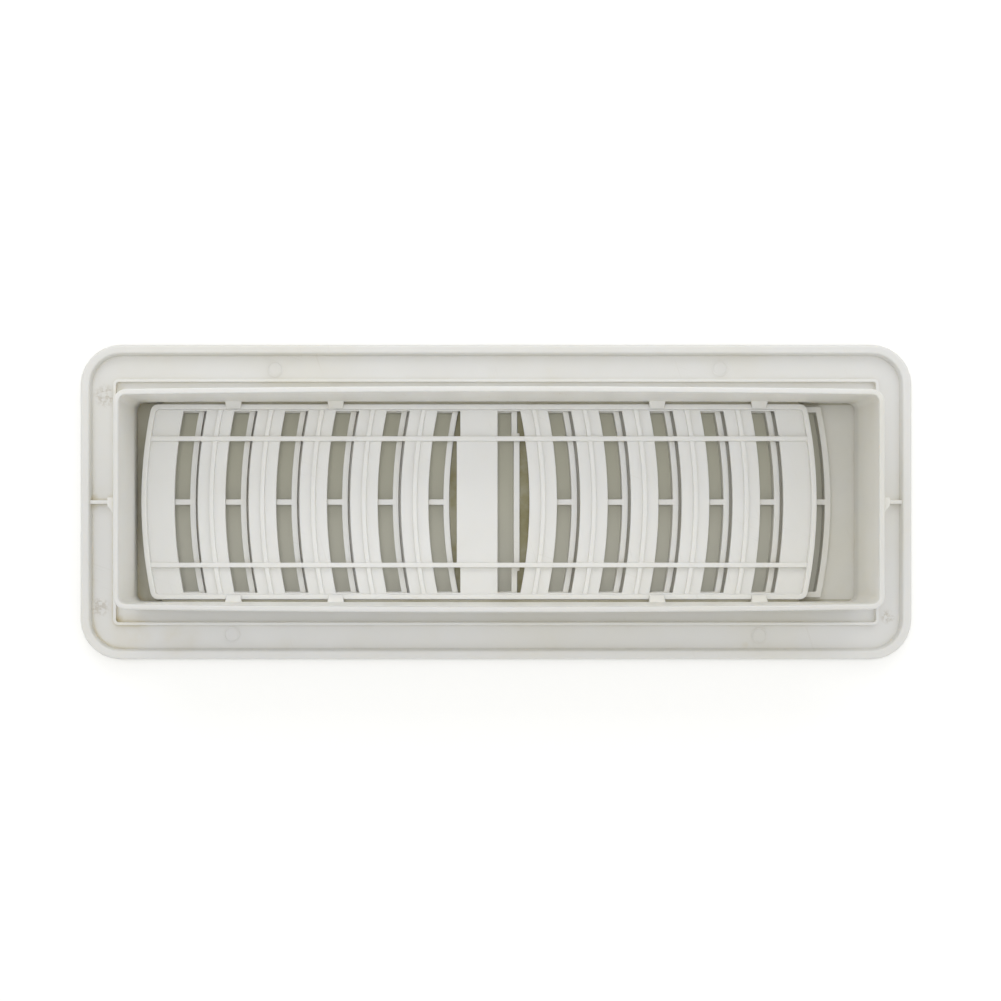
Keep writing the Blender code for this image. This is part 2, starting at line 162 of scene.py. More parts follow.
# Noise values between which each pattern fades in, and its strengths there if not 0 and 1
GLOSS_FADE = (0.3, 0.7)
CLOUD_FADE = (0.42, 0.72)
FLECK_FADE = (0.56, 0.74, 0.0, 0.35)
SCUFF_LINE_FADE = (0.68, 0.74)
SCUFF_PATCH_FADE = (0.5, 0.66)
PIT_FADE = (0.42, 0.62)
STAIN_CLOUD_FADE = (0.35, 0.65, 0.35, 1.0)
GAP_SHADE_CLOUD_FADE = (0.3, 0.7, 0.75, 1.05)
RIM_SHADE_CLOUD_FADE = (0.3, 0.7, 0.8, 1.1)
GRIME_AND_SHADE_PATCH_FADE = (0.44, 0.66, 0.25, 1.0)

# Two sets of hairline scuffs: the angle of each, and its scale along and across the lines
SCUFF_SETS = ((0.35, (60.0, 1500.0, 200.0)), (1.25, (50.0, 1300.0, 200.0)))

# How much the ripple, the grain, the drag marks and the scraped pits add to the height, and
# how deep and how strong the bumps from it are
RIPPLE_HEIGHT = 1.2
GRAIN_HEIGHT = 0.5
DRAG_HEIGHT = 0.25
PIT_HEIGHT = -12.0
BUMP_DEPTH = 0.03 * MM
BUMP_STRENGTH = 0.35

# Tight corners and wider hollows: how far round each looks for walls, and how open a place is
# where it starts and where it is strongest
CORNER_REACH = 2.5 * MM
CORNER_FADE = (0.8, 0.25)
HOLLOW_REACH = 16.0 * MM
HOLLOW_FADE = (0.75, 0.2)

# How aged and shaded the frame and the damper are: broad yellowing, yellowing in hollows that
# is painted shade, yellowing in tight corners that is partly grime and partly painted shade,
# and the dark grime in corners, also partly painted shade
FRAME_AGE_AND_SHADE = {"broad": 0.26, "hollow_shade": 0.2, "corners": 0.45, "corner_grime_and_shade": 0.25}
DAMPER_AGE_AND_SHADE = {"broad": 0.1, "hollow_shade": 0.1, "corners": 0.12, "corner_grime_and_shade": 0.0}

# How much of the grime's colour the scraped places and the scuffs take
SCRAPE_GRIME = 0.35
SCUFF_GRIME = 0.06

# How much the gloss patches and the scuffs change the roughness
GLOSS_ROUGHNESS = 0.1
SCUFF_ROUGHNESS = 0.14

# Refraction of the plastic, and how far each colour of light spreads inside it
PLASTIC_IOR = 1.52
LIGHT_SPREAD = (1.0, 0.95, 0.85)

# Grey card that lies under the register, inside its bevelled edge, and the places along Y
# between which it lightens, a painted light
CARD_LENGTH = 0.262
CARD_WIDTH = 0.088
CARD_LIGHT_FADE = (0.03, -0.035)

# How far the card and the floor lie below the register, and the floor's size
CARD_DROP = 0.1 * MM
FLOOR_DROP = 0.2 * MM
FLOOR_SIZE = 6.0

# Soft lights that point at the register, in metres: where each hangs, and its size
KEY_LIGHT = ((-0.12, 0.08, 1.3), (0.3, 0.3))
BACK_LIGHT = ((0.0, 0.8, 0.65), (1.2, 0.5))
LEFT_LIGHT = ((-0.8, 0.0, 0.5), (0.5, 0.9))
RIGHT_LIGHT = ((0.8, 0.0, 0.5), (0.5, 0.9))

# Width of the camera's sensor, in millimetres, and the nearest distance that it sees
SENSOR_WIDTH = 36.0
NEAR_CLIP = 0.01

# Distance between the nodes in the shader editor
NODE_SPACING = 180


class MouldingSizes(bpy.types.PropertyGroup):
    """Sizes of the detail on the two mouldings."""

    edge_round: FloatProperty(
        name="Edge round",
        description="Radius on the moulded edges",
        default=0.2 * MM,
        min=0.05 * MM,
        max=0.4 * MM,
        precision=5,
        unit="LENGTH",
    )
    edge_segments: IntProperty(
        name="Edge segments",
        description="Faces across each rounded edge",
        default=2,
        min=1,
        max=4,
    )
    pin_mark_radius: FloatProperty(
        name="Pin mark radius",
        description="Radius of the round marks that ejector pins leave on the flange",
        default=2.7 * MM,
        precision=5,
        unit="LENGTH",
    )
    pin_mark_height: FloatProperty(
        name="Pin mark height",
        description="How far a pin mark's edge stands above the flange",
        default=0.12 * MM,
        precision=5,
        unit="LENGTH",
    )


class PlasticFinish(bpy.types.PropertyGroup):
    """Colours and surface of the off-white plastic."""

    plastic_colour: FloatVectorProperty(
        name="Plastic",
        description="Colour of the clean plastic",
        subtype="COLOR",
        size=3,
        min=0.0,
        max=1.0,
        default=(0.774, 0.772, 0.754),
    )
    # Painted light: the collar's inner walls are made lighter than the outside, to stand for
    # light that reaches them
    lit_inner_colour: FloatVectorProperty(
        name="Inner plastic",
        description="Colour of the collar's inside, which has seen less light",
        subtype="COLOR",
        size=3,
        min=0.0,
        max=1.0,
        default=(0.89, 0.885, 0.855),
    )
    # Painted shade: the rim is made darker than the rest of the frame, less on its far side
    # where more light falls
    shaded_rim_colour: FloatVectorProperty(
        name="Handled plastic",
        description="Colour of the plastic on the collar's rim",
        subtype="COLOR",
        size=3,
        min=0.0,
        max=1.0,
        default=(0.715, 0.713, 0.696),
    )
    # Painted light: the damper's plastic is made lighter than the frame's, to lift its shaded
    # bars
    damper_colour: FloatVectorProperty(
        name="Damper plastic",
        description="Colour of the damper, which has seen less light",
        subtype="COLOR",
        size=3,
        min=0.0,
        max=1.0,
        default=(0.825, 0.823, 0.803),
    )
    # Also the colour of the painted shade in hollows and tight corners
    aged_and_shade_colour: FloatVectorProperty(
        name="Aged plastic",
        description="Colour of the plastic where it has yellowed",
        subtype="COLOR",
        size=3,
        min=0.0,
        max=1.0,
        default=(0.73, 0.70, 0.58),
    )
    # Painted shade: a dark olive that stands for the shade in the grille's narrow gaps and on
    # the rails' tops
    gap_shade_colour: FloatVectorProperty(
        name="Dust",
        description="Colour of the stained face inside the collar",
        subtype="COLOR",
        size=3,
        min=0.0,
        max=1.0,
        default=(0.30, 0.27, 0.115),
    )
    # Also the colour of the painted shade in the lip's foot
    stain_and_shade_colour: FloatVectorProperty(
        name="Stain",
        description="Colour of the yellow stains on the flange",
        subtype="COLOR",
        size=3,
        min=0.0,
        max=1.0,
        default=(0.60, 0.52, 0.31),
    )
    # Also carries the painted shade in tight corners, besides the scrapes and scuffs
    grime_and_shade_colour: FloatVectorProperty(
        name="Grime",
        description="Colour of the dirt that sits in tight corners",
        subtype="COLOR",
        size=3,
        min=0.0,
        max=1.0,
        default=(0.34, 0.27, 0.16),
    )
    translucency: FloatProperty(
        name="Translucency",
        description="Share of the light that spreads inside the plastic before it comes out",
        subtype="FACTOR",
        default=0.6,
        min=0.0,
        max=1.0,
    )
    light_depth: FloatProperty(
        name="Light depth",
        description="How far light spreads inside the plastic",
        default=1.6 * MM,
        precision=5,
        unit="LENGTH",
    )
    roughness: FloatProperty(
        name="Roughness",
        description="Roughness of the moulded surface",
        subtype="FACTOR",
        default=0.46,
        min=0.0,
        max=1.0,
    )


class StudioSettings(bpy.types.PropertyGroup):
    """Camera, lights and floor."""

    camera_height: FloatProperty(
        name="Camera height",
        description="Height of the camera above the floor",
        default=0.6366,
        unit="LENGTH",
    )
    camera_offset: FloatVectorProperty(
        name="Camera offset",
        description="Where the camera stands over the register",
        subtype="XYZ",
        size=2,
        unit="LENGTH",
        default=(-0.01555, -0.0159),
    )
    focal_length: FloatProperty(
        name="Focal length",
        description="Focal length of the lens, in millimetres on a 36 mm sensor",
        default=67.14,
    )
    frame_shift: FloatVectorProperty(
        name="Frame shift",
        description="Share of the frame by which the picture is shifted",
        size=2,
        default=(0.0504, 0.0485),
    )
    floor_colour: FloatVectorProperty(
        name="Floor",
        description="Colour of the floor under the register",
        subtype="COLOR",
        size=3,
        min=0.0,
        max=1.0,
        default=(0.80, 0.80, 0.78),
    )
    card_colour: FloatVectorProperty(
        name="Card",
        description="Colour of the card that shows through the slots",
        subtype="COLOR",
        size=3,
        min=0.0,
        max=1.0,
        default=(0.53, 0.52, 0.41),
    )
    # Painted light: the card is made lighter towards the picture's lower edge, where more light
    # reaches it
    card_lit_colour: FloatVectorProperty(
        name="Near card",
        description="Colour of the card towards the picture's lower edge, where it is lighter",
        subtype="COLOR",
        size=3,
        min=0.0,
        max=1.0,
        default=(0.565, 0.557, 0.48),
    )
    floor_lift: FloatProperty(
        name="Floor lift",
        description="Light that the floor adds for the camera, so it reads as white",
        subtype="FACTOR",
        default=0.31,
        min=0.0,
        max=1.0,
    )
    card_lift: FloatProperty(
        name="Card lift",
        description="Light that the card adds for the camera",
        subtype="FACTOR",
        default=0.04,
        min=0.0,
        max=1.0,
    )
    key_power: FloatProperty(
        name="Key light",
        description="Power of the light overhead, in watts",
        default=2.45,
        min=0.0,
    )
    back_power: FloatProperty(
        name="Back light",
        description="Power of the light from the far side, in watts",
        default=2.2,
        min=0.0,
    )
    left_power: FloatProperty(
        name="Left light",
        description="Power of the light at the left end, in watts",
        default=0.1,
        min=0.0,
    )
    right_power: FloatProperty(
        name="Right light",
        description="Power of the light at the right end, in watts",
        default=0.35,
        min=0.0,
    )
    sky_strength: FloatProperty(
        name="Sky strength",
        description="Strength of the even light from all round",
        default=0.89,
        min=0.0,
    )


def select_only(obj):
    bpy.ops.object.select_all(action="DESELECT")
    obj.select_set(True)
    bpy.context.view_layer.objects.active = obj


def apply_modifiers(obj):
    select_only(obj)
    for modifier in list(obj.modifiers):
        bpy.ops.object.modifier_apply(modifier=modifier.name)


def smooth_by_angle(obj, degrees):
    select_only(obj)
    bpy.ops.object.shade_smooth_by_angle(angle=math.radians(degrees))


def cut_lines(places):
    """Seams across the part at these places along X, so that no flat face holds a hole."""
    for x in places:
        bpy.ops.mesh.select_all(action="SELECT")
        bpy.ops.mesh.bisect(plane_co=(x, 0, 0), plane_no=(1, 0, 0))
        bpy.ops.mesh.mark_seam()


def softened_copy(node_name, piece_name, seams):
    """Copy of a CAD moulding, merged into one skin, whose edges get their small radius."""
    sizes = bpy.context.scene.register_mouldings
    piece = bpy.data.objects.new(piece_name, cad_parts[node_name].data.copy())
    piece.data.name = piece_name
    bpy.context.scene.collection.objects.link(piece)
    select_only(piece)
    bpy.ops.object.mode_set(mode="EDIT")
    bpy.ops.mesh.select_all(action="SELECT")
    bpy.ops.mesh.customdata_custom_splitnormals_clear()
    bpy.ops.mesh.remove_doubles(threshold=MERGE_DISTANCE)
    cut_lines(seams)
    bpy.ops.mesh.select_all(action="SELECT")
    bpy.ops.mesh.dissolve_limited(angle_limit=math.radians(FLAT_ANGLE), delimit={"SEAM"})
    bpy.ops.mesh.mark_seam(clear=True)
    bpy.ops.object.mode_set(mode="OBJECT")
    bevel = piece.modifiers.new("Edge round", "BEVEL")
    bevel.width = sizes.edge_round
    bevel.segments = sizes.edge_segments
    bevel.limit_method = "ANGLE"
    bevel.angle_limit = math.radians(EDGE_ANGLE)
    bevel.use_clamp_overlap = False
    apply_modifiers(piece)
    smooth_by_angle(piece, EDGE_ANGLE)
    flat = piece.modifiers.new("Flat faces", "WEIGHTED_NORMAL")
    flat.keep_sharp = True
    apply_modifiers(piece)
    return piece


def socket(group, name, kind, in_out, default=None):
    item = group.interface.new_socket(name=name, in_out=in_out, socket_type=kind)
    if default is not None:
        item.default_value = default


class Graph:
    """Short way to add nodes and links to one node tree."""

    def __init__(self, tree):
        self.tree = tree
        self.column = 0

    def add(self, kind, **settings):
        node = self.tree.nodes.new(kind)
        node.location = (self.column, 0)
        self.column += NODE_SPACING
        for name, value in settings.items():
            setattr(node, name, value)
        return node

    def link(self, output, target):
        self.tree.links.new(output, target)

    def math(self, operation, first, second=0.0, clamp=False):
        node = self.add("ShaderNodeMath", operation=operation, use_clamp=clamp)
        for slot, value in zip(node.inputs, (first, second)):
            if isinstance(value, (int, float)):
                slot.default_value = value
            else:
                self.link(value, slot)
        return node.outputs[0]

    def stretch(self, vector, scale):
        """Place, scaled by its own amount along each axis."""
        node = self.add("ShaderNodeMapping")
        self.link(vector, node.inputs["Vector"])
        node.inputs["Scale"].default_value = scale
        return node.outputs["Vector"]

    def noise(self, vector, scale, detail, roughness):
        node = self.add("ShaderNodeTexNoise")
        self.link(vector, node.inputs["Vector"])
        node.inputs["Scale"].default_value = scale
        node.inputs["Detail"].default_value = detail
        node.inputs["Roughness"].default_value = roughness
        return node.outputs["Fac"]

    def remap(self, value, low, high, new_low=0.0, new_high=1.0):
        node = self.add("ShaderNodeMapRange", interpolation_type="SMOOTHSTEP")
        self.link(value, node.inputs["Value"])
        for name, number in (
            ("From Min", low),
            ("From Max", high),
            ("To Min", new_low),
            ("To Max", new_high),
        ):
            node.inputs[name].default_value = number
        return node.outputs["Result"]

    def share(self, value, low, high):
        """Where a value lies between two others, from 0 to 1."""
        node = self.add("ShaderNodeMapRange")
        self.link(value, node.inputs["Value"])
        node.inputs["From Min"].default_value = low
        node.inputs["From Max"].default_value = high
        return node.outputs["Result"]

    def ramp(self, value, stops):
        """Strength that changes from stop to stop along the collar's length."""
        node = self.add("ShaderNodeValToRGB")
        self.link(value, node.inputs["Fac"])
        elements = node.color_ramp.elements
        while len(elements) < len(stops):
            elements.new(0.5)
        for element, (place, strength) in zip(elements, stops):
            element.position = 0.5 + 0.5 * place * MM / COLLAR_REACH[0]
            element.color = (strength, strength, strength, 1.0)
        return node.outputs["Color"]

    def parts(self, vector):
        node = self.add("ShaderNodeSeparateXYZ")
        self.link(vector, node.inputs[0])
        return node.outputs

    def mix(self, factor, first, second):
        node = self.add("ShaderNodeMix", data_type="RGBA")
        for index, value in ((0, factor), (6, first), (7, second)):
            if isinstance(value, bpy.types.NodeSocket):
                self.link(value, node.inputs[index])
            elif index == 0:
                node.inputs[index].default_value = value
            else:
                node.inputs[index].default_value = (*value, 1.0)
        return node.outputs[2]


def new_group(name):
    group = bpy.data.node_groups.new(name, "ShaderNodeTree")
    return group, Graph(group)


def moulded_grain_group():
    """Fine spark-eroded grain, with faint drag marks that run up the draft."""
    group, graph = new_group("Moulded grain")
    socket(group, "Vector", "NodeSocketVector", "INPUT")
    socket(group, "Height", "NodeSocketFloat", "OUTPUT")
    socket(group, "Gloss", "NodeSocketFloat", "OUTPUT")
    start = graph.add("NodeGroupInput")
    vector = start.outputs["Vector"]
    grain = graph.noise(vector, GRAIN_SCALE, detail=2.0, roughness=0.6)
    ripple = graph.noise(vector, RIPPLE_SCALE, detail=2.0, roughness=0.5)
    stretched = graph.stretch(vector, DRAG_SCALE)
    drag = graph.noise(stretched, 1.0, detail=2.0, roughness=0.5)
    height = graph.math("MULTIPLY", ripple, RIPPLE_HEIGHT)
    height = graph.math("ADD", height, graph.math("MULTIPLY", grain, GRAIN_HEIGHT))
    height = graph.math("ADD", height, graph.math("MULTIPLY", drag, DRAG_HEIGHT))
    patches = graph.noise(vector, GLOSS_SCALE, detail=4.0, roughness=0.6)
    gloss = graph.remap(patches, *GLOSS_FADE)
    end = graph.add("NodeGroupOutput")
    graph.link(height, end.inputs["Height"])
    graph.link(gloss, end.inputs["Gloss"])


def ageing_group():
    """Where the plastic has yellowed: broad soft clouds, and small flecks."""
    group, graph = new_group("Yellowing")
    socket(group, "Vector", "NodeSocketVector", "INPUT")
    socket(group, "Amount", "NodeSocketFloat", "INPUT", 0.3)
    socket(group, "Mask", "NodeSocketFloat", "OUTPUT")
    start = graph.add("NodeGroupInput")
    vector = start.outputs["Vector"]
    clouds = graph.noise(vector, CLOUD_SCALE, detail=4.0, roughness=0.6)
    clouds = graph.remap(clouds, *CLOUD_FADE)
    flecks = graph.noise(vector, FLECK_SCALE, detail=5.0, roughness=0.65)
    flecks = graph.remap(flecks, *FLECK_FADE)
    both = graph.math("ADD", flecks, clouds)
    mask = graph.math("MULTIPLY", both, start.outputs["Amount"], clamp=True)
    end = graph.add("NodeGroupOutput")
    graph.link(mask, end.inputs["Mask"])


def scuff_group():
    """Fine hairline scuffs in two directions."""
    group, graph = new_group("Hairline scuffs")
    socket(group, "Vector", "NodeSocketVector", "INPUT")
    socket(group, "Mask", "NodeSocketFloat", "OUTPUT")
    start = graph.add("NodeGroupInput")
    vector = start.outputs["Vector"]
    masks = []
    for turn, scale in SCUFF_SETS:
        turned = graph.add("ShaderNodeVectorRotate", rotation_type="Z_AXIS")
        graph.link(vector, turned.inputs["Vector"])
        turned.inputs["Angle"].default_value = turn
        stretched = graph.stretch(turned.outputs["Vector"], scale)
        lines = graph.noise(stretched, 1.0, detail=1.0, roughness=0.4)
        masks.append(graph.remap(lines, *SCUFF_LINE_FADE))
    patches = graph.noise(vector, SCUFF_PATCH_SCALE, detail=3.0, roughness=0.6)
    patches = graph.remap(patches, *SCUFF_PATCH_FADE)
    mask = graph.math("MULTIPLY", graph.math("MAXIMUM", *masks), patches)
    end = graph.add("NodeGroupOutput")
    graph.link(mask, end.inputs["Mask"])


def rough_group():
    """Pitted places on the flange, where the plastic has been scraped."""
    group, graph = new_group("Rough marks")
    socket(group, "Vector", "NodeSocketVector", "INPUT")
    socket(group, "Mask", "NodeSocketFloat", "OUTPUT")
    start = graph.add("NodeGroupInput")
    vector = start.outputs["Vector"]
    total = 0.0
    for x, y, radius in ROUGH_PLACES:
        away = graph.add("ShaderNodeVectorMath", operation="DISTANCE")
        graph.link(vector, away.inputs[0])
        away.inputs[1].default_value = (x * MM, y * MM, FLANGE_HEIGHT)
        near = graph.remap(away.outputs["Value"], radius * MM, 0.3 * radius * MM)
        total = graph.math("ADD", near, total)
    pits = graph.noise(vector, PIT_SCALE, detail=2.0, roughness=0.6)
    mask = graph.math("MULTIPLY", total, graph.remap(pits, *PIT_FADE), clamp=True)
    end = graph.add("NodeGroupOutput")
    graph.link(mask, end.inputs["Mask"])


def stain_group():
    """Yellow stains in a few places, and how stained and shaded the lip's foot is."""
    group, graph = new_group("Stains")
    socket(group, "Vector", "NodeSocketVector", "INPUT")
    socket(group, "Spots", "NodeSocketFloat", "OUTPUT")
    socket(group, "Foot", "NodeSocketFloat", "OUTPUT")
    start = graph.add("NodeGroupInput")
    vector = start.outputs["Vector"]
    cloudy = graph.noise(vector, STAIN_CLOUD_SCALE, detail=4.0, roughness=0.6)
    cloudy = graph.remap(cloudy, *STAIN_CLOUD_FADE)
    total = 0.0
    for x, y, z, radius, strength in STAIN_PLACES:
        away = graph.add("ShaderNodeVectorMath", operation="DISTANCE")
        graph.link(vector, away.inputs[0])
        away.inputs[1].default_value = (x * MM, y * MM, z * MM)
        near = graph.remap(away.outputs["Value"], radius * MM, 0.2 * radius * MM, 0.0, strength)
        total = graph.math("ADD", near, total)
    x, y, z = graph.parts(vector)
    behind = graph.remap(z, *STAIN_FADE)
    spots = graph.math("MULTIPLY", graph.math("MULTIPLY", total, cloudy), behind)
    foot = graph.math("MULTIPLY", graph.remap(x, *FOOT_STAIN_AND_SHADE_END), cloudy)
    side = graph.remap(y, *FOOT_STAIN_AND_SHADE_SIDE, *FOOT_STAIN_AND_SHADE_STRENGTHS)
    foot = graph.math("MULTIPLY", foot, side)
    end = graph.add("NodeGroupOutput")
    graph.link(spots, end.inputs["Spots"])
    graph.link(foot, end.inputs["Foot"])


def gap_shade_and_wall_light_group():
    """Painted shade on the face inside the collar and on the rails' tops, in the narrow gaps,
    and where painted light lightens the walls.
    """
    group, graph = new_group("Grille shade and wall light")
    socket(group, "Vector", "NodeSocketVector", "INPUT")
    socket(group, "Normal", "NodeSocketVector", "INPUT")
    socket(group, "Mask", "NodeSocketFloat", "OUTPUT")
    socket(group, "Lit walls", "NodeSocketFloat", "OUTPUT")
    start = graph.add("NodeGroupInput")
    vector = start.outputs["Vector"]
    x, y, z = graph.parts(vector)
    inside = graph.remap(z, *INSIDE_FADE)
    for side, reach in zip((x, y), COLLAR_REACH):
        ends = [reach + past for past in PAST_REACH]
        near = graph.remap(graph.math("ABSOLUTE", side), *ends)
        inside = graph.math("MULTIPLY", inside, near)
    low = graph.remap(z, *GRILLE_FADE)
    strength = graph.ramp(graph.share(x, -COLLAR_REACH[0], COLLAR_REACH[0]), GAP_SHADE_STRENGTHS)
    grille = graph.math("MULTIPLY", low, strength)
    rails = graph.remap(graph.math("ABSOLUTE", y), *RAIL_EDGE, 0.0, RAIL_SHADE)
    below = graph.remap(z, *RAIL_FADE)
    gap_shaded = graph.math("MAXIMUM", grille, graph.math("MULTIPLY", rails, below))
    up = graph.remap(graph.parts(start.outputs["Normal"])[2], *SLOPE_FADE)
    gap_shaded = graph.math("MULTIPLY", gap_shaded, graph.math("MULTIPLY", inside, up))
    patchy = graph.noise(vector, GAP_SHADE_CLOUD_SCALE, detail=4.0, roughness=0.6)
    patchy = graph.remap(patchy, *GAP_SHADE_CLOUD_FADE)
    mask = graph.math("MULTIPLY", gap_shaded, patchy, clamp=True)
    end = graph.add("NodeGroupOutput")
    graph.link(mask, end.inputs["Mask"])
    lit_walls = graph.math("MULTIPLY", inside, graph.remap(z, *WALL_LIGHT_FADE))
    graph.link(lit_walls, end.inputs["Lit walls"])


def shaded_rim_group():
    """Painted shade on the collar's rim, least on its far side."""
    group, graph = new_group("Rim shade")
    socket(group, "Vector", "NodeSocketVector", "INPUT")
    socket(group, "Mask", "NodeSocketFloat", "OUTPUT")
    start = graph.add("NodeGroupInput")
    vector = start.outputs["Vector"]
    y, z = graph.parts(vector)[1:]
    rim = graph.remap(z, *RIM_FADE)
    rim = graph.math("MULTIPLY", rim, graph.remap(y, *FAR_SIDE_FADE))
    patchy = graph.noise(vector, RIM_SHADE_CLOUD_SCALE, detail=4.0, roughness=0.6)
    patchy = graph.remap(patchy, *RIM_SHADE_CLOUD_FADE)
    mask = graph.math("MULTIPLY", rim, patchy, clamp=True)
    end = graph.add("NodeGroupOutput")
    graph.link(mask, end.inputs["Mask"])


def new_material(name):
    """Material with an empty node tree."""
    material = bpy.data.materials.new(name)
    material.use_nodes = True
    material.node_tree.nodes.clear()
    return material


def use_group(graph, group, vector):
    node = graph.add("ShaderNodeGroup")
    node.node_tree = group
    graph.link(vector, node.inputs["Vector"])
    return node


def hollow_mask(graph, reach, fade):
    """How deep a place lies in a hollow of about this size, from 0 to 1."""
    node = graph.add("ShaderNodeAmbientOcclusion", samples=4)
    node.inputs["Distance"].default_value = reach
    return graph.remap(node.outputs["AO"], *fade)


def marked_colour(graph, where, clean, aged_and_shaded, corner):
    """Frame's colour with painted light on its inner walls, painted shade on its rim and in the
    grille's gaps, stains with painted shade in the lip's foot, and scrapes, and where it is
    scraped.
    """
    finish = bpy.context.scene.register_finish
    groups = bpy.data.node_groups
    place = where["Object"]
    gap_shade_and_wall_light = use_group(graph, groups["Grille shade and wall light"], place)
    graph.link(where["Normal"], gap_shade_and_wall_light.inputs["Normal"])
    rim_shade = use_group(graph, groups["Rim shade"], place)
    # Painted light on the collar's inner walls
    clean = graph.mix(gap_shade_and_wall_light.outputs["Lit walls"], clean, finish.lit_inner_colour)
    # Painted shade on the collar's rim
    clean = graph.mix(rim_shade.outputs["Mask"], clean, finish.shaded_rim_colour)
    colour = graph.mix(aged_and_shaded, clean, finish.aged_and_shade_colour)
    # Painted shade in the grille's narrow gaps and on the rails' tops beside the damper
    colour = graph.mix(gap_shade_and_wall_light.outputs["Mask"], colour, finish.gap_shade_colour)
    stains = use_group(graph, groups["Stains"], place)
    # The lip's foot: stain and painted shade, in its tight corners
    foot = graph.math("MULTIPLY", stains.outputs["Foot"], corner)
    stained_and_shaded = graph.math("ADD", stains.outputs["Spots"], foot, clamp=True)
    colour = graph.mix(stained_and_shaded, colour, finish.stain_and_shade_colour)
    scraped = use_group(graph, groups["Rough marks"], place).outputs["Mask"]
    grimed = graph.math("MULTIPLY", scraped, SCRAPE_GRIME)
    return graph.mix(grimed, colour, finish.grime_and_shade_colour), scraped


def plastic_shader(graph, colour, rough, height, translucent):
    """Shader of the plastic, from its colour, its roughness and its height."""
    finish = bpy.context.scene.register_finish
    shader = graph.add("ShaderNodeBsdfPrincipled")
    shader.inputs["IOR"].default_value = PLASTIC_IOR
    graph.link(colour, shader.inputs["Base Color"])
    graph.link(rough, shader.inputs["Roughness"])
    bump = graph.add("ShaderNodeBump")
    bump.inputs["Strength"].default_value = BUMP_STRENGTH
    bump.inputs["Distance"].default_value = BUMP_DEPTH
    graph.link(height, bump.inputs["Height"])
    graph.link(bump.outputs["Normal"], shader.inputs["Normal"])
    if translucent:
        shader.inputs["Subsurface Weight"].default_value = finish.translucency
        shader.inputs["Subsurface Radius"].default_value = LIGHT_SPREAD
        shader.inputs["Subsurface Scale"].default_value = finish.light_depth
    output = graph.add("ShaderNodeOutputMaterial")
    graph.link(shader.outputs["BSDF"], output.inputs["Surface"])


def plastic_material(name, clean, age_and_shade, marked, translucent=True):
    """Off-white moulded plastic: yellowed, with painted shade in its hollows, grime and painted
    shade in corners, scuffed.
    """
    finish = bpy.context.scene.register_finish
    groups = bpy.data.node_groups
    graph = Graph(new_material(name).node_tree)
    where = graph.add("ShaderNodeTexCoord").outputs
    place = where["Object"]
    grain = use_group(graph, groups["Moulded grain"], place)
    yellowed = use_group(graph, groups["Yellowing"], place)
    yellowed.inputs["Amount"].default_value = age_and_shade["broad"]
    scuffs = use_group(graph, groups["Hairline scuffs"], place).outputs["Mask"]
    # Occlusion masks: they place painted shade in hollows, and grime with painted shade in
    # tight corners
    corner = hollow_mask(graph, CORNER_REACH, CORNER_FADE)
    hollow = hollow_mask(graph, HOLLOW_REACH, HOLLOW_FADE)
    hollow_shade_mask = graph.math("MULTIPLY", hollow, age_and_shade["hollow_shade"])
    corner_yellowing_and_shade_mask = graph.math("MULTIPLY", corner, age_and_shade["corners"])
    aged_and_shaded = graph.math("MAXIMUM", hollow_shade_mask, corner_yellowing_and_shade_mask)
    aged_and_shaded = graph.math("ADD", yellowed.outputs["Mask"], aged_and_shaded, clamp=True)
    height = grain.outputs["Height"]
    if marked:
        colour, scraped = marked_colour(graph, where, clean, aged_and_shaded, corner)
        height = graph.math("ADD", height, graph.math("MULTIPLY", scraped, PIT_HEIGHT))
    else:
        colour = graph.mix(aged_and_shaded, clean, finish.aged_and_shade_colour)
    patches = graph.noise(place, GRIME_AND_SHADE_PATCH_SCALE, detail=4.0, roughness=0.65)
    patches = graph.remap(patches, *GRIME_AND_SHADE_PATCH_FADE)
    # Dark grime in tight corners, partly painted shade
    corner_grime_and_shade = graph.math("MULTIPLY", graph.math("MULTIPLY", corner, patches), age_and_shade["corner_grime_and_shade"])
    colour = graph.mix(corner_grime_and_shade, colour, finish.grime_and_shade_colour)
    worn = graph.math("MULTIPLY", scuffs, SCUFF_GRIME)
    colour = graph.mix(worn, colour, finish.grime_and_shade_colour)
    rough = graph.math("MULTIPLY", grain.outputs["Gloss"], GLOSS_ROUGHNESS)
    rough = graph.math("ADD", rough, graph.math("MULTIPLY", scuffs, SCUFF_ROUGHNESS))
    rough = graph.math("ADD", rough, finish.roughness - GLOSS_ROUGHNESS / 2)
    plastic_shader(graph, colour, rough, height, translucent)


def dress(piece, material):
    piece.data.materials.clear()
    piece.data.materials.append(material)


def select_top(obj):
    """Selects, in edit mode, the faces that look up."""
    bpy.ops.mesh.select_mode(type="FACE")
    bpy.ops.mesh.select_all(action="DESELECT")
    bpy.ops.object.mode_set(mode="OBJECT")
    for face in obj.data.polygons:
        face.select = face.normal.z > UPWARD
    bpy.ops.object.mode_set(mode="EDIT")


def finish_detail(piece):
    """Smooths a small piece, dresses it, and fixes it to the frame."""
    smooth_by_angle(piece, DETAIL_ANGLE)
    dress(piece, bpy.data.materials["Detail plastic"])
    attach(piece, "frame")


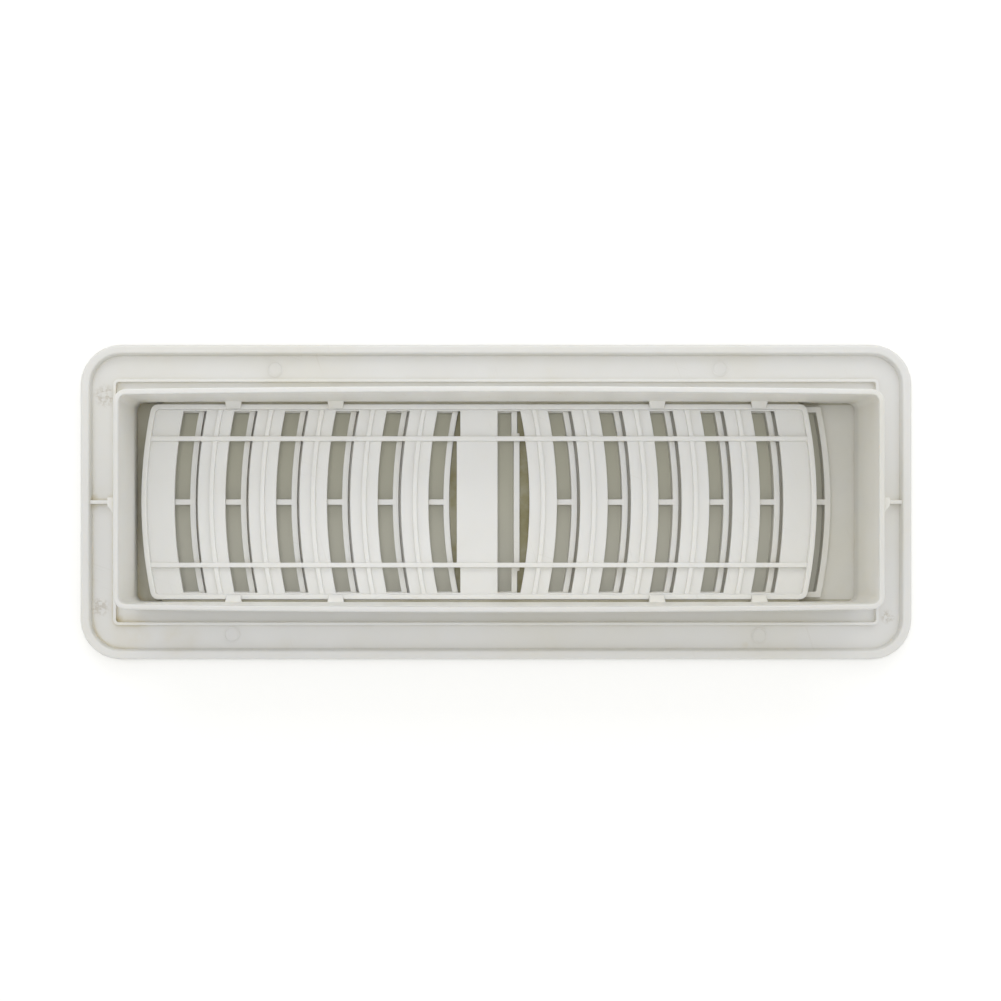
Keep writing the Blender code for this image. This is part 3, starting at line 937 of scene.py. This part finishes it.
class REGISTER_OT_plastics(bpy.types.Operator):
    """Makes the finishes of the two mouldings."""

    bl_idname = "floor_register.plastics"
    bl_label = "Make the Plastics"

    def execute(self, context):
        moulded_grain_group()
        ageing_group()
        scuff_group()
        rough_group()
        stain_group()
        gap_shade_and_wall_light_group()
        shaded_rim_group()
        finish = context.scene.register_finish
        frame_plastic = (finish.plastic_colour, FRAME_AGE_AND_SHADE)
        plastic_material("Frame plastic", *frame_plastic, marked=True)
        plastic_material("Detail plastic", *frame_plastic, marked=True, translucent=False)
        plastic_material("Damper plastic", finish.damper_colour, DAMPER_AGE_AND_SHADE, marked=False)
        return {"FINISHED"}


class REGISTER_OT_frame_moulding(bpy.types.Operator):
    """Rounds the edges of the frame: faceplate, collar, grille, gussets and hooks."""

    bl_idname = "floor_register.frame_moulding"
    bl_label = "Soften the Frame"

    def execute(self, context):
        slots = [side * (place - ARCH_LEAN) for place in SLOT_CENTRES for side in (1, -1)]
        piece = softened_copy("register_frame", "frame_moulding", [0.0, *slots])
        dress(piece, bpy.data.materials["Frame plastic"])
        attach(piece, "frame")
        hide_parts("register_frame")
        return {"FINISHED"}


class REGISTER_OT_damper_moulding(bpy.types.Operator):
    """Rounds the edges of the damper: plate, rim, ribs and thumb lever."""

    bl_idname = "floor_register.damper_moulding"
    bl_label = "Soften the Damper"

    def execute(self, context):
        low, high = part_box("damper")
        middle = (low.x + high.x) / 2
        gaps = [place + SLOT_PITCH / 2 - ARCH_LEAN for place in SLOT_CENTRES[:-1]]
        seams = [middle + side * place for place in (BAND_GAP, *gaps) for side in (1, -1)]
        piece = softened_copy("damper", "damper_moulding", seams)
        dress(piece, bpy.data.materials["Damper plastic"])
        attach(piece, "damper")
        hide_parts("damper")
        return {"FINISHED"}


class REGISTER_OT_pin_marks(bpy.types.Operator):
    """Adds the round marks that ejector pins leave on the flange."""

    bl_idname = "floor_register.pin_marks"
    bl_label = "Add Pin Marks"

    def execute(self, context):
        sizes = context.scene.register_mouldings
        for number, (x, y) in enumerate(PIN_MARK_PLACES, 1):
            bpy.ops.object.select_all(action="DESELECT")
            bpy.ops.mesh.primitive_cylinder_add(
                vertices=48,
                radius=sizes.pin_mark_radius,
                depth=2 * sizes.pin_mark_height,
                location=(x * MM, y * MM, FLANGE_HEIGHT),
            )
            mark = context.view_layer.objects.active
            mark.name = f"pin_mark_{number}"
            bpy.ops.object.transform_apply(location=True, rotation=True, scale=True)
            bpy.ops.object.mode_set(mode="EDIT")
            select_top(mark)
            bpy.ops.mesh.inset(thickness=PIN_MARK_RING)
            bpy.ops.mesh.inset(thickness=PIN_MARK_SLOPE)
            fall = PIN_MARK_FALL * sizes.pin_mark_height
            bpy.ops.transform.translate(value=(0, 0, -fall))
            bpy.ops.object.mode_set(mode="OBJECT")
            finish_detail(mark)
        return {"FINISHED"}


class REGISTER_OT_guide_rails(bpy.types.Operator):
    """Adds the low rails at the foot of the long walls, beside the damper."""

    bl_idname = "floor_register.guide_rails"
    bl_label = "Add Guide Rails"

    def execute(self, context):
        low, high = RAIL_ENDS
        middle = (RAIL_INNER + RAIL_OUTER) / 2
        for number, side in enumerate((1, -1), 1):
            bpy.ops.object.select_all(action="DESELECT")
            bpy.ops.mesh.primitive_cube_add(
                size=1.0,
                location=((low + high) / 2, side * middle, (RAIL_BOTTOM + RAIL_TOP) / 2),
                scale=(high - low, RAIL_OUTER - RAIL_INNER, RAIL_TOP - RAIL_BOTTOM),
            )
            rail = context.view_layer.objects.active
            rail.name = f"guide_rail_{number}"
            bpy.ops.object.transform_apply(location=True, rotation=True, scale=True)
            bpy.ops.object.mode_set(mode="EDIT")
            select_top(rail)
            bpy.ops.mesh.bevel(offset=RAIL_ROUND, segments=2, affect="EDGES")
            bpy.ops.object.mode_set(mode="OBJECT")
            finish_detail(rail)
        return {"FINISHED"}


def floor_material(name, colour, lift, lit_colour=None):
    """Plain matt surface that the camera sees lifted, and that keeps the register's shadow; the
    card's colour also lightens along Y, a painted light.
    """
    material = new_material(name)
    graph = Graph(material.node_tree)
    base = graph.add("ShaderNodeBsdfDiffuse")
    base.inputs["Color"].default_value = (*colour, 1.0)
    if lit_colour is not None:
        place = graph.add("ShaderNodeTexCoord").outputs["Object"]
        near = graph.remap(graph.parts(place)[1], *CARD_LIGHT_FADE)
        graph.link(graph.mix(near, colour, lit_colour), base.inputs["Color"])
    light = graph.add("ShaderNodeEmission")
    rays = graph.add("ShaderNodeLightPath")
    seen = graph.math("MAXIMUM", rays.outputs["Is Camera Ray"], rays.outputs["Is Glossy Ray"])
    strength = graph.math("MULTIPLY", seen, lift)
    graph.link(strength, light.inputs["Strength"])
    total = graph.add("ShaderNodeAddShader")
    graph.link(base.outputs[0], total.inputs[0])
    graph.link(light.outputs[0], total.inputs[1])
    output = graph.add("ShaderNodeOutputMaterial")
    graph.link(total.outputs[0], output.inputs["Surface"])
    return material


def studio_world(settings):
    """White for the camera, and an even light of its own strength for the register."""
    world = bpy.data.worlds.new("Studio sky")
    world.use_nodes = True
    world.node_tree.nodes.clear()
    graph = Graph(world.node_tree)
    seen = graph.add("ShaderNodeLightPath").outputs["Is Camera Ray"]
    strength = graph.remap(seen, 0.0, 1.0, settings.sky_strength, 1.0)
    sky = graph.add("ShaderNodeBackground")
    graph.link(strength, sky.inputs["Strength"])
    output = graph.add("ShaderNodeOutputWorld")
    graph.link(sky.outputs[0], output.inputs["Surface"])
    bpy.context.scene.world = world


def studio_plane(name, size, drop, material):
    """Flat rectangle that lies a little below the register."""
    bpy.ops.object.select_all(action="DESELECT")
    bpy.ops.mesh.primitive_plane_add(size=1.0, location=(0, 0, -drop))
    plane = bpy.context.view_layer.objects.active
    plane.name = name
    plane.scale = (*size, 1.0)
    bpy.ops.object.transform_apply(location=True, rotation=True, scale=True)
    dress(plane, material)
    return plane


def add_soft_light(name, light, power):
    """Area light that points at the register."""
    place, size = light
    bpy.ops.object.light_add(type="AREA", location=place)
    lamp = bpy.context.view_layer.objects.active
    lamp.name = name
    lamp.data.shape = "RECTANGLE"
    lamp.data.size, lamp.data.size_y = size
    lamp.data.energy = power
    lamp.rotation_euler = (-Vector(place)).to_track_quat("-Z", "Y").to_euler()


class REGISTER_OT_studio(bpy.types.Operator):
    """Lays the floor, hangs the lights and stands the camera over the register."""

    bl_idname = "floor_register.studio"
    bl_label = "Set Up the Studio"

    def execute(self, context):
        settings = context.scene.register_studio
        pale = floor_material("Studio floor", settings.floor_colour, settings.floor_lift)
        floor = studio_plane("studio_floor", (FLOOR_SIZE, FLOOR_SIZE), FLOOR_DROP, pale)
        grey = (settings.card_colour, settings.card_lift, settings.card_lit_colour)
        grey = floor_material("Studio card", *grey)
        card = studio_plane("studio_card", (CARD_LENGTH, CARD_WIDTH), CARD_DROP, grey)
        studio_world(settings)
        add_soft_light("key_light", KEY_LIGHT, settings.key_power)
        add_soft_light("back_light", BACK_LIGHT, settings.back_power)
        add_soft_light("left_light", LEFT_LIGHT, settings.left_power)
        add_soft_light("right_light", RIGHT_LIGHT, settings.right_power)
        bpy.ops.object.camera_add()
        camera = context.view_layer.objects.active
        camera.name = "photo_camera"
        camera.location = (*settings.camera_offset, settings.camera_height)
        camera.rotation_euler = (0, 0, 0)
        camera.data.sensor_width = SENSOR_WIDTH
        camera.data.lens = settings.focal_length
        camera.data.shift_x, camera.data.shift_y = settings.frame_shift
        camera.data.clip_start = NEAR_CLIP
        context.scene.camera = camera
        context.scene.view_settings.view_transform = "Standard"
        return {"FINISHED"}


class REGISTER_PT_steps(bpy.types.Panel):
    """Lists the steps that dress the register."""

    bl_idname = "REGISTER_PT_steps"
    bl_label = "Floor Register"
    bl_space_type = "VIEW_3D"
    bl_region_type = "UI"
    bl_category = "Floor Register"

    def draw(self, context):
        scene = context.scene
        for group in (scene.register_mouldings, scene.register_finish, scene.register_studio):
            box = self.layout.box()
            for name in group.__annotations__:
                box.prop(group, name)
        for step in STEPS:
            self.layout.operator(step.bl_idname)


STEPS = (
    REGISTER_OT_plastics,
    REGISTER_OT_frame_moulding,
    REGISTER_OT_damper_moulding,
    REGISTER_OT_pin_marks,
    REGISTER_OT_guide_rails,
    REGISTER_OT_studio,
)
GROUPS = {
    "register_mouldings": MouldingSizes,
    "register_finish": PlasticFinish,
    "register_studio": StudioSettings,
}


def register():
    for cls in (*GROUPS.values(), *STEPS, REGISTER_PT_steps):
        bpy.utils.register_class(cls)
    for name, cls in GROUPS.items():
        setattr(bpy.types.Scene, name, PointerProperty(type=cls))


def unregister():
    for name in GROUPS:
        delattr(bpy.types.Scene, name)
    for cls in reversed((*GROUPS.values(), *STEPS, REGISTER_PT_steps)):
        bpy.utils.unregister_class(cls)


def main():
    register()
    bpy.ops.floor_register.plastics()
    bpy.ops.floor_register.frame_moulding()
    bpy.ops.floor_register.damper_moulding()
    bpy.ops.floor_register.pin_marks()
    bpy.ops.floor_register.guide_rails()
    bpy.ops.floor_register.studio()


if __name__ == "__main__":
    main()
